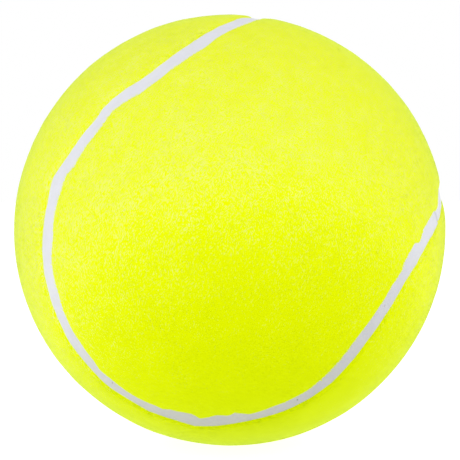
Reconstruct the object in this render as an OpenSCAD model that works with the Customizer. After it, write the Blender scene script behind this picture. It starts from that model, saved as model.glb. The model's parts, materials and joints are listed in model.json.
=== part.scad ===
// A tennis ball: a hollow rubber core of two cemented half shells, covered by two
// interlocking felt panels, with a line of cured rubber in the seam between them.
// The origin is the ball's centre.

/* [Ball] */
// Diameter over the felt
ball_d = 67; // [60:0.1:75]

/* [Core] */
// Wall of the moulded rubber half shells
core_wall = 3.4; // [2.4:0.1:5]
// Thickness of the cement between the rims of the half shells
joint_t = 0.3; // [0.1:0.05:0.8]
// Radius of the cement bead that squeezes out inside the joint
joint_bead_r = 0.8; // [0.5:0.1:1.6]

/* [Cover] */
// Thickness of the cement coat between the core and the cover
coat_t = 0.15; // [0.1:0.05:0.4]
// Thickness of the felt with its nap
felt_t = 3.3; // [2:0.1:5]
// Width of the strip along a panel's edge where the nap rolls over
edge_w = 1; // [0.6:0.1:2]
// How far the rolled edge falls below the felt's surface
edge_fall = 0.35; // [0.1:0.05:0.4]

/* [Seam] */
// Width of the rubber line between the two panels
seam_w = 2.3; // [1.2:0.1:5]
// How far the rubber line lies below the felt's surface
seam_sunk = 0.45; // [0.2:0.05:1.2]
// Angle at the ball's centre from the middle of a panel's waist to the centre of its end
end_angle = 98; // [92:0.5:104]
// Lean of the seam towards +X, as the ball lies
seam_lean = 42.2; // [0:0.1:90]

/* [Hidden] */
$fn = 96;
ball_r = ball_d / 2;
felt_in_r = ball_r - felt_t;
core_r = felt_in_r - coat_t;
core_in_r = core_r - core_wall;
seam_r = ball_r - seam_sunk;

// The seam is four equal arcs, each round the centre of a panel's end. The ends of one
// panel and of the other lie alternately round the ball, and two neighbouring arcs run
// into each other half way between their centres, where their circles touch. So the
// angle between two neighbouring centres is twice the angle of an arc's radius.
arc_angle = acos(-pow(cos(end_angle), 2)) / 2;
// The plane through two neighbouring centres is tilted from the ball's equator by this
plane_tilt = acos(1 / tan(arc_angle));
// Sections turn this far round a centre, which is past the end of any arc
past_turn = 120;

half_seam_angle = asin(seam_w / 2 / seam_r);
edge_angle = asin(edge_w / ball_r);
// Angles from the centre of an arc to the edges of the panels inside and outside it
end_edge_angle = arc_angle - half_seam_angle;
waist_edge_angle = arc_angle + half_seam_angle;
// The rolled edge is an arc that leaves the felt's surface smoothly. Its centre lies at
// this radius, straight below the line where the roll starts.
roll_centre_r = (pow(ball_r, 2) - pow(ball_r - edge_fall, 2))
    / (2 * (ball_r - (ball_r - edge_fall) * cos(edge_angle)));
// Cutting solids reach this far from the centre
cut_r = 2 * ball_r;

// Hollow sphere
module shell(in_r, out_r)
    difference() {
        sphere(r = out_r);
        sphere(r = in_r);
    }

// Flat wedge between two angles from the upright axis
module wedge(from_angle, to_angle) {
    half = (to_angle - from_angle) / 2;
    middle = from_angle + half;
    polygon([[0, 0],
             cut_r * [sin(from_angle), cos(from_angle)],
             cut_r / cos(half) * [sin(middle), cos(middle)],
             cut_r * [sin(to_angle), cos(to_angle)]]);
}

// Flat ring between two radii, cut to a wedge
module ring_section(in_r, out_r, from_angle, to_angle)
    intersection() {
        difference() {
            circle(r = out_r);
            circle(r = in_r);
        }
        wedge(from_angle, to_angle);
    }

// Section of the felt's rolled edge, from the full height to the wall of the panel
module roll_section(full_angle, wall_angle) {
    from_angle = min(full_angle, wall_angle);
    to_angle = max(full_angle, wall_angle);
    ring_section(felt_in_r, ball_r - edge_fall, from_angle, to_angle);
    intersection() {
        difference() {
            translate(roll_centre_r * [sin(full_angle), cos(full_angle)])
                circle(r = ball_r - roll_centre_r);
            circle(r = felt_in_r);
        }
        wedge(from_angle, to_angle);
    }
}

// In these two, a section lies in the plane of two neighbouring centres, with the point
// between them on +X. It turns about the centre of the first panel's end, away from the
// waist, or about the centre of the second panel's end, over the waist.
module round_own_end()
    rotate([0, 0, -arc_angle]) rotate([0, 90, 0]) rotate([0, 0, 90])
        rotate_extrude(angle = -past_turn) children();

module over_waist()
    rotate([0, 0, arc_angle]) rotate([0, 90, 0]) rotate([0, 0, -90])
        rotate_extrude(angle = -180) children();

// Tilts the plane of the centres to its place, keeps the quarter of the ball between
// the panel's two mirror planes, and mirrors it into the other three
module in_quarters()
    for (across = [0, 1], along = [0, 1])
        mirror([across, 0, 0]) mirror([0, along, 0])
            intersection() {
                translate([0, 0, -cut_r]) cube([cut_r, cut_r, 2 * cut_r]);
                rotate([0, 0, 45]) rotate([plane_tilt, 0, 0]) children();
            }

// Turns the first panel's place into the second's
module other_panel()
    rotate(a = 180, v = [1, 1, 0]) children();

// Leans the seam as the ball lies
module leaned()
    rotate([0, seam_lean, 0]) rotate([0, 0, 90]) children();

// One felt panel, its waist on +Z and its ends to either side along X
module felt_panel()
    in_quarters() {
        over_waist() {
            ring_section(felt_in_r, ball_r, waist_edge_angle + edge_angle, 180);
            roll_section(waist_edge_angle + edge_angle, waist_edge_angle);
        }
        round_own_end() {
            ring_section(felt_in_r, ball_r, 0, end_edge_angle - edge_angle);
            roll_section(end_edge_angle - edge_angle, end_edge_angle);
        }
    }

// The first panel's outline, cut right through the cover
module panel_cutter() {
    in_r = felt_in_r - felt_t;
    out_r = ball_r + felt_t;
    in_quarters() {
        over_waist() ring_section(in_r, out_r, waist_edge_angle, 180);
        round_own_end() ring_section(in_r, out_r, 0, end_edge_angle);
    }
}

// One half shell of the core, its rim down, with a round groove for the cement bead
module core_half()
    difference() {
        shell(core_in_r, core_r);
        translate([-core_r, -core_r, joint_t / 2 - 2 * core_r]) cube(2 * core_r);
        rotate_extrude() translate([core_in_r, 0]) circle(r = joint_bead_r);
    }

module core_half_upper()
    color([0.25, 0.25, 0.27]) core_half();

module core_half_lower()
    color([0.25, 0.25, 0.27]) rotate([180, 0, 0]) core_half();

// Ring of cement between the rims, with its bead inside
module core_joint()
    color([0.76, 0.7, 0.55])
        rotate_extrude()
            intersection() {
                circle(r = core_r);
                union() {
                    translate([core_in_r, -joint_t / 2]) square([core_wall, joint_t]);
                    translate([core_in_r, 0]) circle(r = joint_bead_r);
                }
            }

module cover_cement()
    color([0.85, 0.8, 0.65]) shell(core_r, felt_in_r);

module felt_panel_1()
    color([0.93, 0.98, 0.24]) leaned() felt_panel();

module felt_panel_2()
    color([0.93, 0.98, 0.24]) leaned() other_panel() felt_panel();

module seam()
    color([0.87, 0.88, 0.84])
        leaned()
            difference() {
                shell(felt_in_r, seam_r);
                panel_cutter();
                other_panel() panel_cutter();
            }

core_half_upper();
core_half_lower();
core_joint();
cover_cement();
felt_panel_1();
felt_panel_2();
seam();
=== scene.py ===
import bpy
import bmesh
import json
import math
import numpy as np
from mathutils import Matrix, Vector

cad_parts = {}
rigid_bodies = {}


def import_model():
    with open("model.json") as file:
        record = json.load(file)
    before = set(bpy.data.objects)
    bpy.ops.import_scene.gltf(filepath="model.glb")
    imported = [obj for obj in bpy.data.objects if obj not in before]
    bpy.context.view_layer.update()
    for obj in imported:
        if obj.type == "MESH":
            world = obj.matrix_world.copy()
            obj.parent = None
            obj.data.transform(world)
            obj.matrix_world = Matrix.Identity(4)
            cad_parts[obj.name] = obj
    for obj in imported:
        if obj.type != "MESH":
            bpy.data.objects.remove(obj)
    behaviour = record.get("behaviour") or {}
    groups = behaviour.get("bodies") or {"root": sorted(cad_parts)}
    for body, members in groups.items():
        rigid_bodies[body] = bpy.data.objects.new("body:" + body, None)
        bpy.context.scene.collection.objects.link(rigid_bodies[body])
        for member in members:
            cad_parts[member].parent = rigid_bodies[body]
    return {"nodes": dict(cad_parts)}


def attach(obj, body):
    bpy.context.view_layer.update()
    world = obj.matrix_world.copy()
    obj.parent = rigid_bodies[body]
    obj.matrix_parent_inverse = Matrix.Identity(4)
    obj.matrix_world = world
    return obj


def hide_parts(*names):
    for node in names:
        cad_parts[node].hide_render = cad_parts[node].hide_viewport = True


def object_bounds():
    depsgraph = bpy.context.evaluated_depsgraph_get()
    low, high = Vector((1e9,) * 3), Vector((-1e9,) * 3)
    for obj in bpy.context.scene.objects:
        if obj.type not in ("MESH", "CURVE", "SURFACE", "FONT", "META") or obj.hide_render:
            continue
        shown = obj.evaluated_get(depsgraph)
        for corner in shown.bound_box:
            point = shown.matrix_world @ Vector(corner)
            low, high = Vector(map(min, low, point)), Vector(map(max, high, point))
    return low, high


# A tennis ball: two felt panels with a short nap, the rubber line of the seam between them,
# and the cemented rubber core inside.

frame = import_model()
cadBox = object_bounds()
mm = 0.001


def nodeRadii(name):
    # Least and greatest distance of a node's corners from the ball's centre
    mesh = frame["nodes"][name].data
    corners = np.empty(len(mesh.vertices) * 3, np.float32)
    mesh.vertices.foreach_get("co", corners)
    reach = np.linalg.norm(corners.reshape(-1, 3).astype(float), axis=1)
    return reach.min(), reach.max()


feltInside, ballRadius = nodeRadii("felt_panel_1")
seamRadius = nodeRadii("seam")[1]
print("frame: ball radius %.2f mm, seam radius %.2f mm" % (ballRadius / mm, seamRadius / mm))


# Numbers

latticeShift = 1000    # cells, which keeps the numbers of all cells near the ball positive
weldReach = 1e-8       # metres, within which corners of a grid are made one


def unit(vectors):
    # Vectors divided by their lengths
    return vectors / np.linalg.norm(vectors, axis=-1, keepdims=True)


def latticeValue(cell, seed):
    # Whole-number hash of a lattice point, spread over -1 to 1
    mixed = cell[..., 0] * 73856093 ^ cell[..., 1] * 19349663 ^ cell[..., 2] * 83492791
    mixed = mixed ^ seed * 2654435761
    mixed = (mixed ^ (mixed >> 13)) * 1274126177 & 0xFFFFFFFF
    mixed = (mixed ^ (mixed >> 16)) * 668265263 & 0xFFFFFFFF
    return (mixed ^ (mixed >> 15)) / 2147483648.0 - 1


def lumps(points, size, seed):
    # Smooth noise: values at the corners of cubes of this size, blended by 6f^5 - 15f^4 + 10f^3
    scaled = points / size + latticeShift
    cell = np.floor(scaled).astype(np.int64)
    part = scaled - cell
    blend = part ** 3 * (part * (part * 6 - 15) + 10)
    total = np.zeros(points.shape[:-1])
    for corner in np.ndindex(2, 2, 2):
        weight = np.prod(np.where(corner, blend, 1 - blend), axis=-1)
        total += weight * latticeValue(cell + np.array(corner), seed)
    return total


# The seam's path

seamPath = {
    "endAngle": 98.0,      # degrees, from the middle of a panel's waist to the centre of its end
    "lean": 42.2,          # degrees, of the seam's own axis towards +X
    "arcs": 4,
    "perArc": 225,         # columns along each of the arcs
    "arcLength": 80.6,     # mm
    "plainWidth": (2.0, 2.7),  # mm, of the line where no corners are given
    "plainDrift": 0.3,     # mm, that it strays to either side there
    "plainStep": 0.06,     # arcs between the corners there
    "cuts": ((1.9, 0.05), (0.6, 0.02)),  # mm: spacing and reach of the roughness of the cut edges
    "seed": 11,
}

# Corners that the scissors left in each panel's edge, where the line shows: place in arcs
# along the seam, and mm from the seam's path to the edge
firstCut = (
    (1.50, 1.3), (1.565, 1.6), (1.578, 1.8), (1.59, 2.15), (1.67, 1.6), (1.715, 1.05),
    (1.745, 0.9), (1.785, 1.15), (1.815, 0.85),
    (1.925, 0.65), (1.935, 0.25), (1.967, -0.25), (1.98, -0.15), (2.01, 0.85), (2.09, 1.65),
    (2.11, 1.05), (2.14, 1.4), (2.19, 1.5), (2.225, 1.95), (2.27, 1.6), (2.335, 1.85),
    (2.405, 1.4), (2.425, 1.55), (2.47, 1.2), (2.49, 0.55), (2.515, 0.75), (2.56, 0.45),
    (2.61, 0.6), (2.622, 0.4), (2.635, 1.0), (2.678, 1.1), (2.69, 0.0), (2.72, 1.35),
    (2.745, 1.15), (2.755, 1.8), (2.78, 0.75), (2.825, 1.1), (2.89, 1.0), (2.96, 1.35),
    (3.01, 1.4), (3.045, 1.15), (3.10, 1.0), (3.12, 1.3), (3.155, 1.05), (3.165, 1.6),
    (3.21, 1.6), (3.222, 0.65), (3.245, 1.35), (3.312, 0.75), (3.322, 0.1), (3.333, 0.25),
    (3.35, 0.8), (3.37, 1.3), (3.42, 1.2),
)
secondCut = (
    (1.50, -0.2), (1.535, -0.5), (1.56, -0.3), (1.575, 0.1), (1.59, 0.45), (1.65, 0.5),
    (1.70, 1.05), (1.80, 1.35), (1.90, 1.4), (1.935, 2.05),
    (1.965, 2.2), (1.99, 1.85), (2.003, 1.25), (2.06, 0.7), (2.09, 0.65), (2.13, 1.4),
    (2.17, 0.7), (2.22, 0.6), (2.38, 0.65), (2.41, 1.05), (2.49, 1.2), (2.51, 1.5),
    (2.57, 1.4), (2.60, 1.95), (2.64, 1.65), (2.68, 2.65), (2.72, 1.8), (2.735, 1.3),
    (2.78, 0.85), (2.93, 0.85), (2.98, 0.6), (3.06, 0.95), (3.155, 0.65), (3.19, 0.95),
    (3.25, 1.0), (3.34, 1.5), (3.42, 1.35),
)


def leaned(points):
    # From the seam's own axes to the ball as it lies
    lean = math.radians(seamPath["lean"])
    c, s = math.cos(lean), math.sin(lean)
    return points @ np.array([[0, 1, 0], [-c, 0, s], [s, 0, c]])


def seamColumns(perArc):
    # Each arc is a circle round the centre of a panel's end: cos(a) centre + sin(a) (cos(t) away
    # + sin(t) side). The spine of the panel outside an arc lies in its mirror plane, where the
    # great circle from the arc's centre through the line meets it.
    end = math.radians(seamPath["endAngle"])
    arcAngle = math.acos(-math.cos(end) ** 2) / 2
    halfTurn = math.atan2(1, math.cos(end))
    turn = np.linspace(-halfTurn, halfTurn, perArc, endpoint=False)[:, None]
    s, c = math.sin(end), math.cos(end)
    arcs = (   # centre, away from the waist, to the side, and whose end it is
        ((s, 0, c), (c, 0, -s), (0, 1, 0), 0),
        ((0, s, -c), (0, c, s), (-1, 0, 0), 1),
        ((-s, 0, c), (-c, 0, -s), (0, -1, 0), 0),
        ((0, -s, -c), (0, -c, s), (1, 0, 0), 1),
    )
    lines, spines = [], ([], [])
    for centre, away, side, owner in arcs:
        centre, away, side = np.array(centre, float), np.array(away, float), np.array(side, float)
        outward = np.cos(turn) * away + np.sin(turn) * side
        line = math.cos(arcAngle) * centre + math.sin(arcAngle) * outward
        beyond = (line * centre[owner] - line[:, owner:owner + 1] * centre) * np.sign(centre[owner])
        lines.append(line)
        spines[owner].append(np.broadcast_to(centre, line.shape))
        spines[1 - owner].append(unit(beyond))
    line = np.concatenate(lines)
    first, second = np.concatenate(spines[0]), np.concatenate(spines[1])
    toFirst = unit(first - line * np.sum(first * line, axis=1, keepdims=True))
    return leaned(line), leaned(first), leaned(second), leaned(toFirst)


def cutEdges(perArc):
    # Distance of each panel's cut edge from the seam's path, in metres: straight runs between the
    # corners given, or between seeded ones where there are none, and a little roughness
    arcs, step = seamPath["arcs"], seamPath["plainStep"]
    place = np.arange(arcs * perArc) / perArc
    dice = np.random.default_rng(seamPath["seed"])
    known = firstCut[0][0], firstCut[-1][0]
    # The seeded corners keep half a step or more from the given ones, and end before the loop does
    before = np.arange(0, known[0] - step / 2, step)
    after = np.arange(known[1] + step, arcs - step / 6, step)
    plain = np.concatenate([before, after])
    half = dice.uniform(*seamPath["plainWidth"], len(plain)) / 2
    drift = dice.uniform(-seamPath["plainDrift"], seamPath["plainDrift"], len(plain))
    edges = []
    for side, cut in ((1, firstCut), (-1, secondCut)):
        corners = np.array(cut)
        knots = np.concatenate([plain, corners[:, 0]])
        reach = np.concatenate([half + side * drift, corners[:, 1]])
        order = np.argsort(knots)
        edge = np.interp(place, knots[order], reach[order], period=arcs)
        for spacing, rough in seamPath["cuts"]:
            steps = round(arcs * seamPath["arcLength"] / spacing)
            offsets = dice.uniform(-rough, rough, steps)
            edge += np.interp(place, np.arange(steps) * arcs / steps, offsets, period=arcs)
        edges.append(edge * mm)
    return edges


seamLine, spineFirst, spineSecond, towardsFirst = seamColumns(seamPath["perArc"])
edgeFirst, edgeSecond = cutEdges(seamPath["perArc"])
print("seam path: %d columns" % len(seamLine))


# Meshes

def newPiece(name, corners, faces):
    # A smooth object of these corners and faces, its place in its mesh
    mesh = bpy.data.meshes.new(name)
    mesh.from_pydata(corners.reshape(-1, 3).tolist(), [], faces)
    mesh.polygons.foreach_set("use_smooth", np.ones(len(mesh.polygons), bool))
    mesh.update()
    piece = bpy.data.objects.new(name, mesh)
    bpy.context.scene.collection.objects.link(piece)
    return piece


def gridObject(name, grid, closedRows):
    # Quads between neighbouring points of a grid; its columns run round, and its rows if closed.
    # Points that fall together at a pole or at the spine are made one.
    rows, columns = grid.shape[:2]
    index = np.arange(rows * columns).reshape(rows, columns)
    near = index if closedRows else index[:-1]
    far = np.roll(index, -1, axis=0) if closedRows else index[1:]
    quads = np.stack([near, np.roll(near, -1, axis=1), np.roll(far, -1, axis=1), far], axis=-1)
    piece = newPiece(name, grid, quads.reshape(-1, 4).tolist())
    shape = bmesh.new()
    shape.from_mesh(piece.data)
    bmesh.ops.remove_doubles(shape, verts=shape.verts, dist=weldReach)
    bmesh.ops.recalc_face_normals(shape, faces=shape.faces)
    shape.to_mesh(piece.data)
    shape.free()
    piece.data.update()
    return piece


# Patch of painted shade

# Shade painted low on the front of the ball, round the middle direction: deeper felt tones, fewer pale
# flecks and a darker seam line; the nap there also lies flatter
paintedShadePatch = {
    "middle": (0.12, -0.71, -0.69),
    "feltShade": (1.0, 0.58),      # cosines of the angles from the middle where a change starts and ends: painted shade on the felt's tones, on its flecks, on the seam line, and the flatter nap
    "flecks": (1.02, 0.43),
    "line": (0.95, 0.5),
    "nap": (0.88, 0.5),
    "flatter": 0.85,         # share of its height that the nap loses there
    "feltShadeCloud": 0.05,        # cosine, reach of the clouds that its edge breaks into
    "fleckCloud": 0.15,
    # Their size in mm, detail, roughness, stretch, and turn in degrees
    "cloud": (2.8, 3.0, 0.6, (1, 1, 2.6), (0, 42, 0)),
}


def napLeft(points):
    # Share of the nap's height that is left: less towards the middle of the shaded patch, by the
    # cosine of the angle from it
    middle = unit(np.array(paintedShadePatch["middle"]))
    flat, full = paintedShadePatch["nap"]
    worn = np.clip((unit(points) @ middle - full) / (flat - full), 0, 1)
    return 1 - paintedShadePatch["flatter"] * worn


# Felt panels

felt = {
    "rows": 80,            # from the spine to the strip along the edge
    "strip": 1.3,          # mm, width of the strip where the rows are closer
    "stripRows": 12,
    "crowding": 1.4,       # power by which they crowd towards the edge
    "underTips": 0.06,     # mm, that the felt's body lies below the fibres' tips
    "rollWidth": 0.9,      # mm, of the nap's roll along the cut edge
    "rollUnder": 0.12,     # mm, that the roll ends below the rubber line
    "shoulder": (2.8, 0.1),  # mm: width and fall of the slope before the roll
    "pressed": (           # places along an edge where the slope falls more: panel, place and
        (1, 1.57, 0.05, 0.24),   # spread in arcs, and mm
        (1, 3.36, 0.04, 0.14),
        (2, 3.41, 0.05, 0.16),
    ),
    "hollows": (           # degrees round the ball from +X over +Z, size and height in mm
        (119, 5.5, -0.25),
        (74, 3.2, 0.2),
        (51, 2.6, 0.16),
        (25, 4.5, -0.1),
        (334, 13.0, -0.13),
        (275, 14.0, 0.06),
    ),
    "innerRows": 7,        # across the back of the felt
    "swell": (16.0, 0.08),   # mm: size and height of the slow swells
    "lump": (4.5, 0.03),     # of the lumps in the nap
    "tuft": (1.5, 0.02),     # of its tufts
    "grain": (0.75, 0.015),  # of its grains
}


def napHeight(points):
    # Swells, lumps, tufts and grains of the nap, one on the other, with the felt's shallow hollows
    # and rises as bells exp(-(d/size)^2)
    height = np.full(points.shape[:-1], -felt["underTips"] * mm)
    for angle, size, rise in felt["hollows"]:
        middle = np.array([math.cos(math.radians(angle)), 0, math.sin(math.radians(angle))])
        away = np.linalg.norm(points - middle * ballRadius, axis=-1)
        height += rise * mm * np.exp(-(away / (size * mm)) ** 2)
    left = napLeft(points)
    for seed, part in enumerate(("swell", "lump", "tuft", "grain"), start=1):
        size, reach = felt[part]
        kept = left if part in ("tuft", "grain") else 1.0
        height += kept * reach * mm * lumps(points, size * mm, seed)
    return height


def shoulderFall(panel, columns):
    # How far the slope before the roll falls: the same all along, and bells where it is pressed
    place = np.arange(columns) / seamPath["perArc"]
    fall = np.full(columns, felt["shoulder"][1])
    for owner, middle, spread, more in felt["pressed"]:
        if owner == panel:
            fall += more * np.exp(-((place - middle) / spread) ** 2)
    return fall * mm


def panelGrid(panel, spine, line, inward, edge):
    # Great circles from the spine to the cut edge with closer rows near it, where the felt slopes
    # by a square and then rolls down by 1 - cos to just under the rubber line; then the wall, and
    # the back of the felt
    start = np.arccos(np.clip(np.sum(spine * line, axis=1), -1, 1))
    reach = start - edge / ballRadius
    strip = felt["strip"] * mm / ballRadius
    share = np.linspace(0, 1, felt["rows"], endpoint=False)[:, None]
    inStrip = strip * (1 - np.linspace(0, 1, felt["stripRows"])[:, None]) ** felt["crowding"]
    gap = np.concatenate([reach - (reach - strip) * share, inStrip + 0 * reach])

    def onSphere(awayFromEdge):
        angle = edge / ballRadius + awayFromEdge
        return np.cos(angle)[..., None] * line + np.sin(angle)[..., None] * inward

    top = onSphere(gap)
    intoRoll = np.clip(1 - gap * ballRadius / (felt["rollWidth"] * mm), 0, 1)
    slope = np.clip(1 - gap * ballRadius / (felt["shoulder"][0] * mm), 0, 1) ** 2
    fall = shoulderFall(panel, len(edge))
    drop = ballRadius - seamRadius + felt["rollUnder"] * mm
    height = napHeight(top * ballRadius) * (1 - intoRoll) - fall * slope
    height -= (drop - fall) * (1 - np.cos(intoRoll * math.pi / 2))
    outer = top * (ballRadius + height)[..., None]
    wall = onSphere(np.zeros((1, len(edge)))) * (seamRadius + feltInside) / 2
    shareBack = np.linspace(0, 1, felt["innerRows"] + 1)[:, None]
    back = onSphere(reach * shareBack) * feltInside
    return outer, gap * ballRadius, np.concatenate([outer, wall, back])


panelGrids = {}
for panel, spine, inward, edge in (
    (1, spineFirst, towardsFirst, edgeFirst),
    (2, spineSecond, -towardsFirst, edgeSecond),
):
    name = "felt_panel_%d" % panel
    outer, room, whole = panelGrid(panel, spine, seamLine, inward, edge)
    panelGrids[name] = outer, room
    piece = gridObject(name.replace("_panel_", "_cover_"), whole, False)
    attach(piece, "root")
    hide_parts(name)
    print("%s: %d faces" % (piece.name, len(piece.data.polygons)))


# Rubber line

rubberLine = {
    "perArc": 450,
    "underFelt": 0.3,      # mm, that its edges run under the nap
    "rowsAcross": 13,
    "bottomStep": 3,       # rows of its top to each row of its underside
    "hollow": 0.04,        # mm, that its middle lies lower than its edges
    "uneven": (1.7, 0.03),   # mm: size and height of the unevenness left by the mould's cloth
    "pits": (0.5, 0.012),
    "seed": 21,
    "lap": (3.318, -0.005, 0.1, 0.05),  # place and slant in arcs, height in mm, run-out in arcs
    "crack": (0.2, 0.0022),  # mm deep and arcs wide, where the lap meets the line under it
    "crackShade": (0.5, 0.0065),  # share and width in arcs of the painted shade along the crack
}


def rubberGrid():
    # A profile across the line, a shallow hollow with uneven height, carried along the seam's path,
    # with its sides down to the cement. Where the line's ends lap, the upper end stands up and
    # runs out by an exponential, with a crack exp(-d^2) at its foot, and painted shade along the crack
    # spread the same way.
    line, _, _, toFirst = seamColumns(rubberLine["perArc"])
    place = np.arange(len(line)) / rubberLine["perArc"]
    coarse = np.arange(len(edgeFirst)) / seamPath["perArc"]
    under = rubberLine["underFelt"] * mm
    high = np.interp(place, coarse, edgeFirst, period=seamPath["arcs"]) + under
    low = -np.interp(place, coarse, edgeSecond, period=seamPath["arcs"]) - under
    share = np.linspace(0, 1, rubberLine["rowsAcross"])[:, None]
    angle = (low + (high - low) * share) / seamRadius
    across = np.cos(angle)[..., None] * line + np.sin(angle)[..., None] * toFirst
    rise = -rubberLine["hollow"] * mm * (1 - (2 * share - 1) ** 2) + 0 * angle
    for seed, part in enumerate(("uneven", "pits"), start=rubberLine["seed"]):
        size, reach = rubberLine[part]
        rise += reach * mm * lumps(across * seamRadius, size * mm, seed)
    lapPlace, slant, lapHeight, runOut = rubberLine["lap"]
    before = lapPlace + slant * (2 * share - 1) - place
    rise += np.where(before > 0, lapHeight * mm * np.exp(-np.abs(before) / runOut), 0)
    deep, wide = rubberLine["crack"]
    rise -= deep * mm * np.exp(-(before / wide) ** 2)
    # Painted shade along the crack, spread the same way as the crack
    shadeShare, spread = rubberLine["crackShade"]
    crackShade = shadeShare * np.exp(-(before / spread) ** 2)
    top = across * (seamRadius + rise)[..., None]
    back = slice(None, None, -rubberLine["bottomStep"])
    return np.concatenate([top, across[back] * feltInside]), np.concatenate([crackShade, crackShade[back]])


rubberShape, rubberCrackShade = rubberGrid()
rubber = gridObject("seam_line", rubberShape, True)
# Painted shade along the crack, a value at each corner
rubber.data.attributes.new("crackShade", "FLOAT", "POINT").data.foreach_set("value", rubberCrackShade.ravel())
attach(rubber, "root")
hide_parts("seam")
print("%s: %d faces" % (rubber.name, len(rubber.data.polygons)))


# Grit

grit = {
    "grains": (            # place in arcs, mm from the seam's path, and radius in mm
        (2.867, 0.23, 0.12),
        (2.523, 0.05, 0.11),
        (3.092, 0.30, 0.09),
    ),
    "rings": 4,
    "around": 10,
    "uneven": (0.75, 1.2),  # least and greatest share of its radius, round a grain's outline
    "height": 0.06,        # mm, that a grain stands over the rubber
}


def grainGrid(place, offset, radius, seed):
    # A low dome, height sqrt(1 - r^2), with an uneven outline, pressed into the rubber line
    line, _, _, toFirst = seamColumns(rubberLine["perArc"])
    column = round(place * rubberLine["perArc"])
    angle = offset * mm / seamRadius
    up = math.cos(angle) * line[column] + math.sin(angle) * toFirst[column]
    across = math.cos(angle) * toFirst[column] - math.sin(angle) * line[column]
    along = np.cross(up, across)
    dice = np.random.default_rng(seed)
    turn = np.arange(grit["around"]) * 2 * math.pi / grit["around"]
    reach = radius * mm * dice.uniform(*grit["uneven"], grit["around"])
    share = np.linspace(0, 1, grit["rings"])[:, None]
    flat = share * reach * np.cos(turn), share * reach * np.sin(turn)
    height = grit["height"] * mm * (2 * np.sqrt(1 - share ** 2) - 1) + 0 * reach
    middle = up * seamRadius
    return middle + flat[0][..., None] * across + flat[1][..., None] * along + height[..., None] * up


grains = []
for number, (place, offset, radius) in enumerate(grit["grains"], start=1):
    grain = gridObject("grit_%d" % number, grainGrid(place, offset, radius, number), False)
    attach(grain, "root")
    grains.append(grain)
print("grit: %d grains" % len(grains))


# Nap fibres

nap = {
    "perPiece": 62000,
    "seeds": ((40, 41), (50, 51)),  # one for each piece, by panel
    "length": (0.3, 0.7),    # mm
    "width": (0.04, 0.07),
    "lift": (0.006, 0.026),  # mm, of the middle of a fibre over the felt
    "rooted": 0.012,         # mm, that its foot lies in the felt
    "combed": (0.25, 0.2, 1.0),  # axis that the nap is combed round
    "swirl": (9.0, 2.2, 31),  # mm, radians and seed: size and turn of the swirls in the comb
    "spread": 0.9,           # radians, that the fibres stray from the comb
    "bend": 0.12,            # share of its length, that a fibre bends to a side
    "middle": (0.5, 0.8, 0.4),  # shares of its length, width and bend at a fibre's middle
    "tipLift": 0.4,          # share of its lift that is left at the tip
    "bare": 0.15,            # mm, of the cut edge that no fibre grows from
    "overEdge": 0.08,        # mm, that a fibre may reach over the cut edge
}


def fibres(outer, room, count, seed):
    # Blades of five corners rooted at random on the panel, as many on equal areas: a wide foot in
    # the felt, a lifted middle, and a tip that comes down again. By the edge they are short.
    dice = np.random.default_rng(seed)
    along = np.roll(outer, -1, axis=1)[:-1] - outer[:-1]
    down = outer[1:] - outer[:-1]
    area = np.linalg.norm(np.cross(along, down), axis=-1) * (room[1:] > nap["bare"] * mm)
    picked = dice.choice(area.size, count, p=(area / area.sum()).ravel())
    row, column = np.unravel_index(picked, area.shape)
    a, b = dice.random((2, count, 1))
    foot = outer[row, column] + a * along[row, column] + b * down[row, column]
    normal = unit(foot)
    crossways = unit(np.cross(np.array(nap["combed"]), normal))
    comb = np.cross(normal, crossways)
    size, turn, swirlSeed = nap["swirl"]
    stray = turn * lumps(foot, size * mm, swirlSeed) + dice.normal(0, nap["spread"], count)
    heading = np.cos(stray)[:, None] * comb + np.sin(stray)[:, None] * crossways
    side = np.cross(normal, heading)
    longest = room[row + 1, column][:, None] + nap["overEdge"] * mm
    length = np.minimum(dice.uniform(*nap["length"], count)[:, None] * mm, longest)
    half = dice.uniform(*nap["width"], count)[:, None] * mm / 2
    left = napLeft(foot)[:, None]
    lift = dice.uniform(*nap["lift"], count)[:, None] * mm * left
    bend = dice.normal(0, nap["bend"], count)[:, None] * length
    start = foot - normal * nap["rooted"] * mm * left
    halfway, slimmer, bent = nap["middle"]
    middle = foot + heading * length * halfway + normal * lift + side * bend * bent
    tip = foot + heading * length + normal * lift * nap["tipLift"] + side * bend
    wide, narrow = side * half, side * half * slimmer
    return np.stack([start - wide, start + wide, middle + narrow, middle - narrow, tip], axis=1)


def fibreObject(name, corners):
    # Two faces for each blade: a quad from foot to middle and a triangle to the tip
    first = np.arange(len(corners))[:, None] * 5
    quads = (first + np.array([0, 1, 2, 3])).tolist()
    tips = (first + np.array([3, 2, 4])).tolist()
    return newPiece(name, corners, quads + tips)


napPieces = [], []
for panel, name in enumerate(("felt_panel_1", "felt_panel_2")):
    for layer, seed in enumerate(nap["seeds"][panel]):
        blades = fibres(*panelGrids[name], nap["perPiece"], seed)
        piece = fibreObject("nap_%d_%d" % (panel + 1, layer + 1), blades)
        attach(piece, "root")
        napPieces[panel].append(piece)
print("nap: %d pieces of %d fibres on each panel" % (len(napPieces[0]), nap["perPiece"]))


# Materials

def newMaterial(name):
    # An empty node tree with a Principled shader
    material = bpy.data.materials.new(name)
    material.use_nodes = True
    tree = material.node_tree
    tree.nodes.clear()
    shader = tree.nodes.new("ShaderNodeBsdfPrincipled")
    output = tree.nodes.new("ShaderNodeOutputMaterial")
    tree.links.new(shader.outputs["BSDF"], output.inputs["Surface"])
    return material, tree, shader


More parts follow.
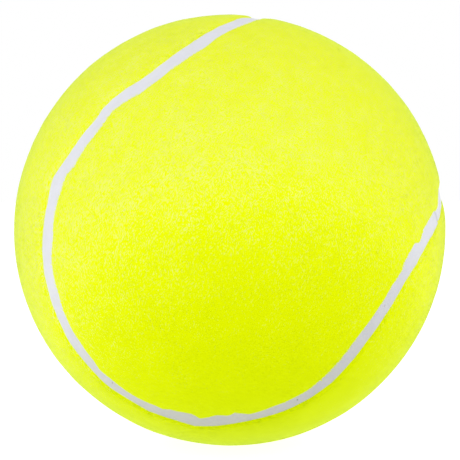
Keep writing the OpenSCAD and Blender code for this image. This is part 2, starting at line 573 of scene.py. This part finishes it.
def noiseNode(tree, size, detail=2.0, roughness=0.5, stretch=(1, 1, 1), turn=(0, 0, 0)):
    # Noise whose features are about this many mm wide, in the ball's own coordinates. They can be
    # stretched along axes that are turned first.
    place = tree.nodes.new("ShaderNodeTexCoord")
    mapping = tree.nodes.new("ShaderNodeMapping")
    noise = tree.nodes.new("ShaderNodeTexNoise")
    mapping.vector_type = "TEXTURE"
    mapping.inputs["Scale"].default_value = stretch
    mapping.inputs["Rotation"].default_value = [math.radians(angle) for angle in turn]
    noise.inputs["Scale"].default_value = 1 / (size * mm)
    noise.inputs["Detail"].default_value = detail
    noise.inputs["Roughness"].default_value = roughness
    tree.links.new(place.outputs["Object"], mapping.inputs["Vector"])
    tree.links.new(mapping.outputs["Vector"], noise.inputs["Vector"])
    return noise.outputs["Fac"]


def rampNode(tree, value, low, high, dark, light):
    # Colour from dark to light as the value goes from low to high
    ramp = tree.nodes.new("ShaderNodeValToRGB")
    ramp.color_ramp.elements[0].position = low
    ramp.color_ramp.elements[1].position = high
    ramp.color_ramp.elements[0].color = (*dark, 1)
    ramp.color_ramp.elements[1].color = (*light, 1)
    tree.links.new(value, ramp.inputs["Fac"])
    return ramp.outputs["Color"]


def mixNode(tree, kind, share, first, second):
    # Two colours mixed in this way; the share and the colours are values or come from nodes. A Mix
    # node's colours are its inputs 6 and 7 and its output 2.
    mix = tree.nodes.new("ShaderNodeMix")
    mix.data_type = "RGBA"
    mix.blend_type = kind
    sockets = mix.inputs["Factor"], mix.inputs[6], mix.inputs[7]
    for socket, value in zip(sockets, (share, first, second)):
        if isinstance(value, bpy.types.NodeSocket):
            tree.links.new(value, socket)
        else:
            socket.default_value = value
    return mix.outputs[2]


def between(tree, value, low, high, start=0.0, end=1.0):
    # From low to high as the value goes from start to end
    amount = tree.nodes.new("ShaderNodeMapRange")
    for name, number in (("To Min", low), ("To Max", high), ("From Min", start), ("From Max", end)):
        amount.inputs[name].default_value = number
    tree.links.new(value, amount.inputs["Value"])
    return amount.outputs["Result"]


def blueNode(tree, share):
    # White with this share of blue
    colour = tree.nodes.new("ShaderNodeCombineColor")
    colour.inputs["Red"].default_value = 1.0
    colour.inputs["Green"].default_value = 1.0
    tree.links.new(share, colour.inputs["Blue"])
    return colour.outputs["Color"]


def mathNode(tree, kind, first, second):
    # Two numbers put together in this way
    result = tree.nodes.new("ShaderNodeMath")
    result.operation = kind
    tree.links.new(first, result.inputs[0])
    tree.links.new(second, result.inputs[1])
    return result.outputs[0]


def bumpNode(tree, height, depth, strength, under=None):
    # Bump of this depth in mm, laid over the bump under it
    bump = tree.nodes.new("ShaderNodeBump")
    bump.inputs["Strength"].default_value = strength
    bump.inputs["Distance"].default_value = depth * mm
    tree.links.new(height, bump.inputs["Height"])
    if under:
        tree.links.new(under, bump.inputs["Normal"])
    return bump.outputs["Normal"]


def cosineNode(tree, direction):
    # Cosine of the angle at the ball's centre between a place on the ball and this direction
    place = tree.nodes.new("ShaderNodeTexCoord")
    along = tree.nodes.new("ShaderNodeVectorMath")
    along.operation = "DOT_PRODUCT"
    along.inputs[1].default_value = Vector(direction).normalized() / ballRadius
    tree.links.new(place.outputs["Object"], along.inputs[0])
    return along.outputs["Value"]


def fadeNode(tree, limits, reach=0.0):
    # 0 in the patch of painted shade, where the felt's tones are painted deeper and the seam line
    # darker, and 1 away from it: a slope by the cosine of the angle from the patch's middle, which
    # clouds of noise can break up
    cosine = cosineNode(tree, paintedShadePatch["middle"])
    if reach:
        cloud = noiseNode(tree, *paintedShadePatch["cloud"])
        cosine = mathNode(tree, "ADD", cosine, between(tree, cloud, -reach, reach))
    return between(tree, cosine, 0.0, 1.0, *limits)


def streakNode(tree):
    # Streaks that lie three ways, each way in tufts of its own: noise stretched along one axis
    # that leans by the way's angle, and wider noise that picks the way
    long, detail = (1, 1, feltLook["streak"]), feltLook["fleckDetail"]
    ways = [noiseNode(tree, feltLook["fleck"], detail, stretch=long, turn=turn)
            for turn in feltLook["ways"]]
    streaks = ways[0]
    for way, turn in zip(ways[1:], feltLook["tuftTurns"]):
        tufts = noiseNode(tree, feltLook["tuft"], detail, turn=turn)
        tufts = rampNode(tree, tufts, *feltLook["tufts"], (0, 0, 0), (1, 1, 1))
        streaks = mixNode(tree, "MIX", tufts, streaks, way)
    return streaks


feltLook = {
    # Deep and pale tones as painted shade in the patch's middle, then away from it
    "paintedShadeDeep": (0.682, 0.812, 0.0, 1),
    "paintedShadePale": (0.685, 0.807, 0.036, 1),
    "openDeep": (0.885, 0.99, 0.0, 1),
    "openPale": (0.89, 0.945, 0.25, 1),
    "paintedLightSide": (-0.4, -0.5, -0.8),  # side on which the flecks are painted palest, as painted light
    "paintedLightRange": (0.34, 1.05),   # share of their painted paleness on the far side and on that side
    "panels": (0.96, 1.1),    # times that, by each panel's batch of felt
    "tipsPaler": 0.12,        # share of the pale tone mixed into the fibres, away from the patch of painted shade
    "fleck": 0.135,           # mm, width of the flecks
    "streak": 3.4,            # times as long as they are wide
    "ways": ((8, 38, 0), (8, -14, 0), (8, 12, 0)),  # degrees about X, Y and Z, from upright
    "tuft": 1.4,              # mm, size of the tufts that the ways change between
    "tuftTurns": ((0, 25, 60), (40, 25, 60)),  # degrees, of the noise for each change of way
    "fleckDetail": 1.0,       # of the noise of both
    "tufts": (0.48, 0.54),    # of the noise's range, where one way turns to the next
    "flecks": (0.44, 0.56),   # of the noise's range, where deep turns to pale
    "fewer": 0.22,            # of the noise's range, that the flecks lose in the patch of painted shade
    # The soft clumps' size in mm, detail, roughness, stretch, and turn in degrees; then their
    # range of the noise and the two tones
    "clump": (2.2, 2.0, 0.55, (1, 1, 1.5), (0, 38, 0)),
    "clumps": (0.25, 0.8, (0.99, 0.99, 0.45), (1, 1, 1.2)),
    "fine": (0.3, 0.05, 0.14, 2.0),  # mm: size and depth of the bumps; their strength and detail
    "tufted": (1.2, 0.09, 0.2, 1.0),
    "sheen": 1.0,
    "sheenRoughness": 0.32,
    "sheenTint": (0.8, 1.0, 0.18, 1),
    "gloss": 0.0,
    "roughness": 0.8,
}


def feltMaterial(name, batch, paler):
    # Dyed wool and nylon: flecks of deeper and paler yellow-green that lie in the nap's direction,
    # in soft clumps, deeper as painted shade over the shaded patch and paler as painted light on one
    # side, with two sizes of bump and a soft sheen
    material, tree, shader = newMaterial(name)
    # Painted shade: deeper tones, and fewer pale flecks, towards the patch's middle
    fade = fadeNode(tree, paintedShadePatch["feltShade"], paintedShadePatch["feltShadeCloud"])
    cloudy = fadeNode(tree, paintedShadePatch["flecks"], paintedShadePatch["fleckCloud"])
    kept = mathNode(tree, "ADD", streakNode(tree), between(tree, cloudy, -feltLook["fewer"], 0.0))
    share = rampNode(tree, kept, *feltLook["flecks"], (0, 0, 0), (1, 1, 1))
    deep = mixNode(tree, "MIX", fade, feltLook["paintedShadeDeep"], feltLook["openDeep"])
    pale = mixNode(tree, "MIX", fade, feltLook["paintedShadePale"], feltLook["openPale"])
    colour = mixNode(tree, "MIX", share, deep, pale)
    # Painted light: the flecks paler on one side of the ball than on the far side
    far, near = feltLook["paintedLightRange"]
    paintedLight = between(tree, cosineNode(tree, feltLook["paintedLightSide"]), far * batch, near * batch, -1.0, 1.0)
    colour = mixNode(tree, "MULTIPLY", 1.0, colour, blueNode(tree, paintedLight))
    clumps = rampNode(tree, noiseNode(tree, *feltLook["clump"]), *feltLook["clumps"])
    colour = mixNode(tree, "MULTIPLY", 1.0, colour, clumps)
    colour = mixNode(tree, "MIX", between(tree, cloudy, 0.0, paler), colour, pale)
    tree.links.new(colour, shader.inputs["Base Color"])
    relief = None
    for kind in ("fine", "tufted"):
        size, depth, strength, detail = feltLook[kind]
        relief = bumpNode(tree, noiseNode(tree, size, detail), depth, strength, relief)
    tree.links.new(relief, shader.inputs["Normal"])
    shader.inputs["Roughness"].default_value = feltLook["roughness"]
    shader.inputs["Specular IOR Level"].default_value = feltLook["gloss"]
    shader.inputs["Sheen Weight"].default_value = feltLook["sheen"]
    shader.inputs["Sheen Roughness"].default_value = feltLook["sheenRoughness"]
    shader.inputs["Sheen Tint"].default_value = feltLook["sheenTint"]
    return material


# For each rubber and cement: dark and light tone, and the size of the patches and depth of the
# skin in mm; the seam's also has the tone of its painted shade
rubberLooks = {
    "seamRubber": {
        "tones": ((0.74, 0.75, 0.815), (0.78, 0.79, 0.87)),
        "skin": (1.8, 0.05), "roughness": 0.62, "gloss": 0.3,
        # Tone of the painted shade over the patch and along the crack at the lap
        "shadeTone": (0.68, 0.67, 0.66, 1),
    },
    "grit1": {
        "tones": ((0.20, 0.21, 0.20), (0.32, 0.33, 0.31)),
        "skin": (0.1, 0.02), "roughness": 0.9, "gloss": 0.2,
    },
    "grit2": {
        "tones": ((0.36, 0.31, 0.37), (0.50, 0.44, 0.50)),
        "skin": (0.1, 0.02), "roughness": 0.9, "gloss": 0.2,
    },
    "grit3": {
        "tones": ((0.52, 0.42, 0.46), (0.62, 0.50, 0.55)),
        "skin": (0.1, 0.02), "roughness": 0.9, "gloss": 0.2,
    },
    "coreRubber": {
        "tones": ((0.045, 0.045, 0.05), (0.08, 0.08, 0.085)),
        "skin": (3.0, 0.05), "roughness": 0.7, "gloss": 0.4,
    },
    "rubberCement": {
        "tones": ((0.46, 0.38, 0.22), (0.60, 0.50, 0.31)),
        "skin": (2.0, 0.04), "roughness": 0.55, "gloss": 0.4,
    },
}


rubberSkin = {             # what all of them share
    "patches": (4.0, 0.6),   # detail and roughness of the patches' noise
    "range": (0.3, 0.7),     # of that noise, over which the dark tone turns to the light one
    "finer": 0.3,            # size of the skin's bumps, as a share of the patches' size
    "bumps": (3.0, 0.55),    # detail and roughness of the bumps' noise
    "strength": 0.5,
}


def rubberMaterial(name):
    # Matt rubber or cement: two near tones in soft patches, a faint uneven skin, and on the seam line
    # a darker tone multiplied over the shaded patch as painted shade, and again along the crack at the
    # lap
    look = rubberLooks[name]
    size, depth = look["skin"]
    material, tree, shader = newMaterial(name)
    patches = noiseNode(tree, size, *rubberSkin["patches"])
    colour = rampNode(tree, patches, *rubberSkin["range"], *look["tones"])
    # Painted shade: the seam line darker over the shaded patch and along the crack at the lap
    if "shadeTone" in look:
        patchShade = mixNode(tree, "MIX", fadeNode(tree, paintedShadePatch["line"]), look["shadeTone"], (1, 1, 1, 1))
        colour = mixNode(tree, "MULTIPLY", 1.0, colour, patchShade)
        crackShade = tree.nodes.new("ShaderNodeAttribute")
        crackShade.attribute_name = "crackShade"
        colour = mixNode(tree, "MULTIPLY", crackShade.outputs["Fac"], colour, look["shadeTone"])
    tree.links.new(colour, shader.inputs["Base Color"])
    bumps = noiseNode(tree, size * rubberSkin["finer"], *rubberSkin["bumps"])
    skin = bumpNode(tree, bumps, depth, rubberSkin["strength"])
    tree.links.new(skin, shader.inputs["Normal"])
    shader.inputs["Roughness"].default_value = look["roughness"]
    shader.inputs["Specular IOR Level"].default_value = look["gloss"]
    return material


for number, batch in enumerate(feltLook["panels"], start=1):
    feltBase = feltMaterial("feltNap%d" % number, batch, 0.0)
    feltTips = feltMaterial("feltTips%d" % number, batch, feltLook["tipsPaler"])
    bpy.data.objects["felt_cover_%d" % number].data.materials.append(feltBase)
    for piece in napPieces[number - 1]:
        piece.data.materials.append(feltTips)
rubber.data.materials.append(rubberMaterial("seamRubber"))
for number, grain in enumerate(grains, start=1):
    grain.data.materials.append(rubberMaterial("grit%d" % number))
coreRubber, cement = rubberMaterial("coreRubber"), rubberMaterial("rubberCement")
hidden = {
    "core_half_upper": coreRubber,
    "core_half_lower": coreRubber,
    "core_joint": cement,
    "cover_cement": cement,
}
for name, material in hidden.items():
    mesh = frame["nodes"][name].data
    mesh.materials.clear()
    mesh.materials.append(material)
print("materials: done")


# Stage

stage = {
    "floorSize": 6.0,
    "floorColour": (0.62, 0.62, 0.62, 1),
    "floorShown": 0.39,     # glow of the floor that only shows, and lights nothing
    "floorLit": 0.50,       # glow of a lit table, which lights the ball from below too
    "world": (0.83, 0.80),  # strength level with the ball and under it, and overhead
    "lamps": {              # place in metres, side of the square in metres, and watts
        "keyLight": ((-0.36, -0.56, 0.4), 0.6, 0.95),
        "sideLight": ((0.7, -0.15, 0.15), 0.6, 0.62),
    },
}


def shownRay(tree):
    # 1 for rays that come straight from the camera, or by gloss or through glass, else 0
    path = tree.nodes.new("ShaderNodeLightPath")
    either = path.outputs["Is Camera Ray"]
    for kind in ("Is Glossy Ray", "Is Transmission Ray"):
        either = mathNode(tree, "MAXIMUM", either, path.outputs[kind])
    return either


def whiteWorld():
    # Plain light all round, a little dimmer overhead, shown as white
    world = bpy.data.worlds.new("studio")
    bpy.context.scene.world = world
    world.use_nodes = True
    tree = world.node_tree
    background = tree.nodes["Background"]
    background.inputs["Color"].default_value = (1, 1, 1, 1)
    place = tree.nodes.new("ShaderNodeTexCoord")
    upright = tree.nodes.new("ShaderNodeSeparateXYZ")
    tree.links.new(place.outputs["Generated"], upright.inputs["Vector"])
    level = between(tree, upright.outputs["Z"], *stage["world"])
    shown = tree.nodes.new("ShaderNodeMix")
    tree.links.new(shownRay(tree), shown.inputs["Factor"])
    tree.links.new(level, shown.inputs["A"])
    shown.inputs["B"].default_value = 1.0
    tree.links.new(shown.outputs["Result"], background.inputs["Strength"])


def whiteFloor():
    # A wide square under the ball, a little lit from within like a light table
    half = stage["floorSize"] / 2
    z = cadBox[0][2]
    corners = [(-half, -half, z), (half, -half, z), (half, half, z), (-half, half, z)]
    mesh = bpy.data.meshes.new("floor")
    mesh.from_pydata(corners, [], [(0, 1, 2, 3)])
    floor = bpy.data.objects.new("floor", mesh)
    bpy.context.scene.collection.objects.link(floor)
    material, tree, shader = newMaterial("paleFloor")
    shader.inputs["Base Color"].default_value = stage["floorColour"]
    shader.inputs["Roughness"].default_value = 1.0
    shader.inputs["Specular IOR Level"].default_value = 0.0
    shader.inputs["Emission Color"].default_value = (1, 1, 1, 1)
    lit = stage["floorLit"]
    glow = between(tree, shownRay(tree), lit, lit + stage["floorShown"])
    tree.links.new(glow, shader.inputs["Emission Strength"])
    mesh.materials.append(material)


def softBox(name, place, size, watts):
    # A square lamp that faces the ball
    data = bpy.data.lights.new(name, "AREA")
    data.shape = "SQUARE"
    data.size = size
    data.energy = watts
    lamp = bpy.data.objects.new(name, data)
    lamp.location = place
    lamp.rotation_euler = (-Vector(place)).to_track_quat("-Z", "Y").to_euler()
    bpy.context.scene.collection.objects.link(lamp)


whiteWorld()
whiteFloor()
for name, lamp in stage["lamps"].items():
    softBox(name, *lamp)

# Camera, at the angle and distance of the photograph
view = {
    "lens": 84.8,          # mm, for a sensor of this width
    "sensor": 36,
    "nearest": 0.01,       # metres, that the camera sees
    "towards": Vector((0.0045, -0.999, 0.0377)).normalized(),
    "distance": 5.1135 * ballRadius,
}
cameraData = bpy.data.cameras.new("camera")
cameraData.lens = view["lens"]
cameraData.sensor_width = view["sensor"]
cameraData.clip_start = view["nearest"]
camera = bpy.data.objects.new("camera", cameraData)
camera.location = view["towards"] * view["distance"]
camera.rotation_euler = (-view["towards"]).to_track_quat("-Z", "Y").to_euler()
bpy.context.scene.collection.objects.link(camera)
bpy.context.scene.camera = camera
bpy.context.scene.view_settings.view_transform = "Standard"
print("stage: done")
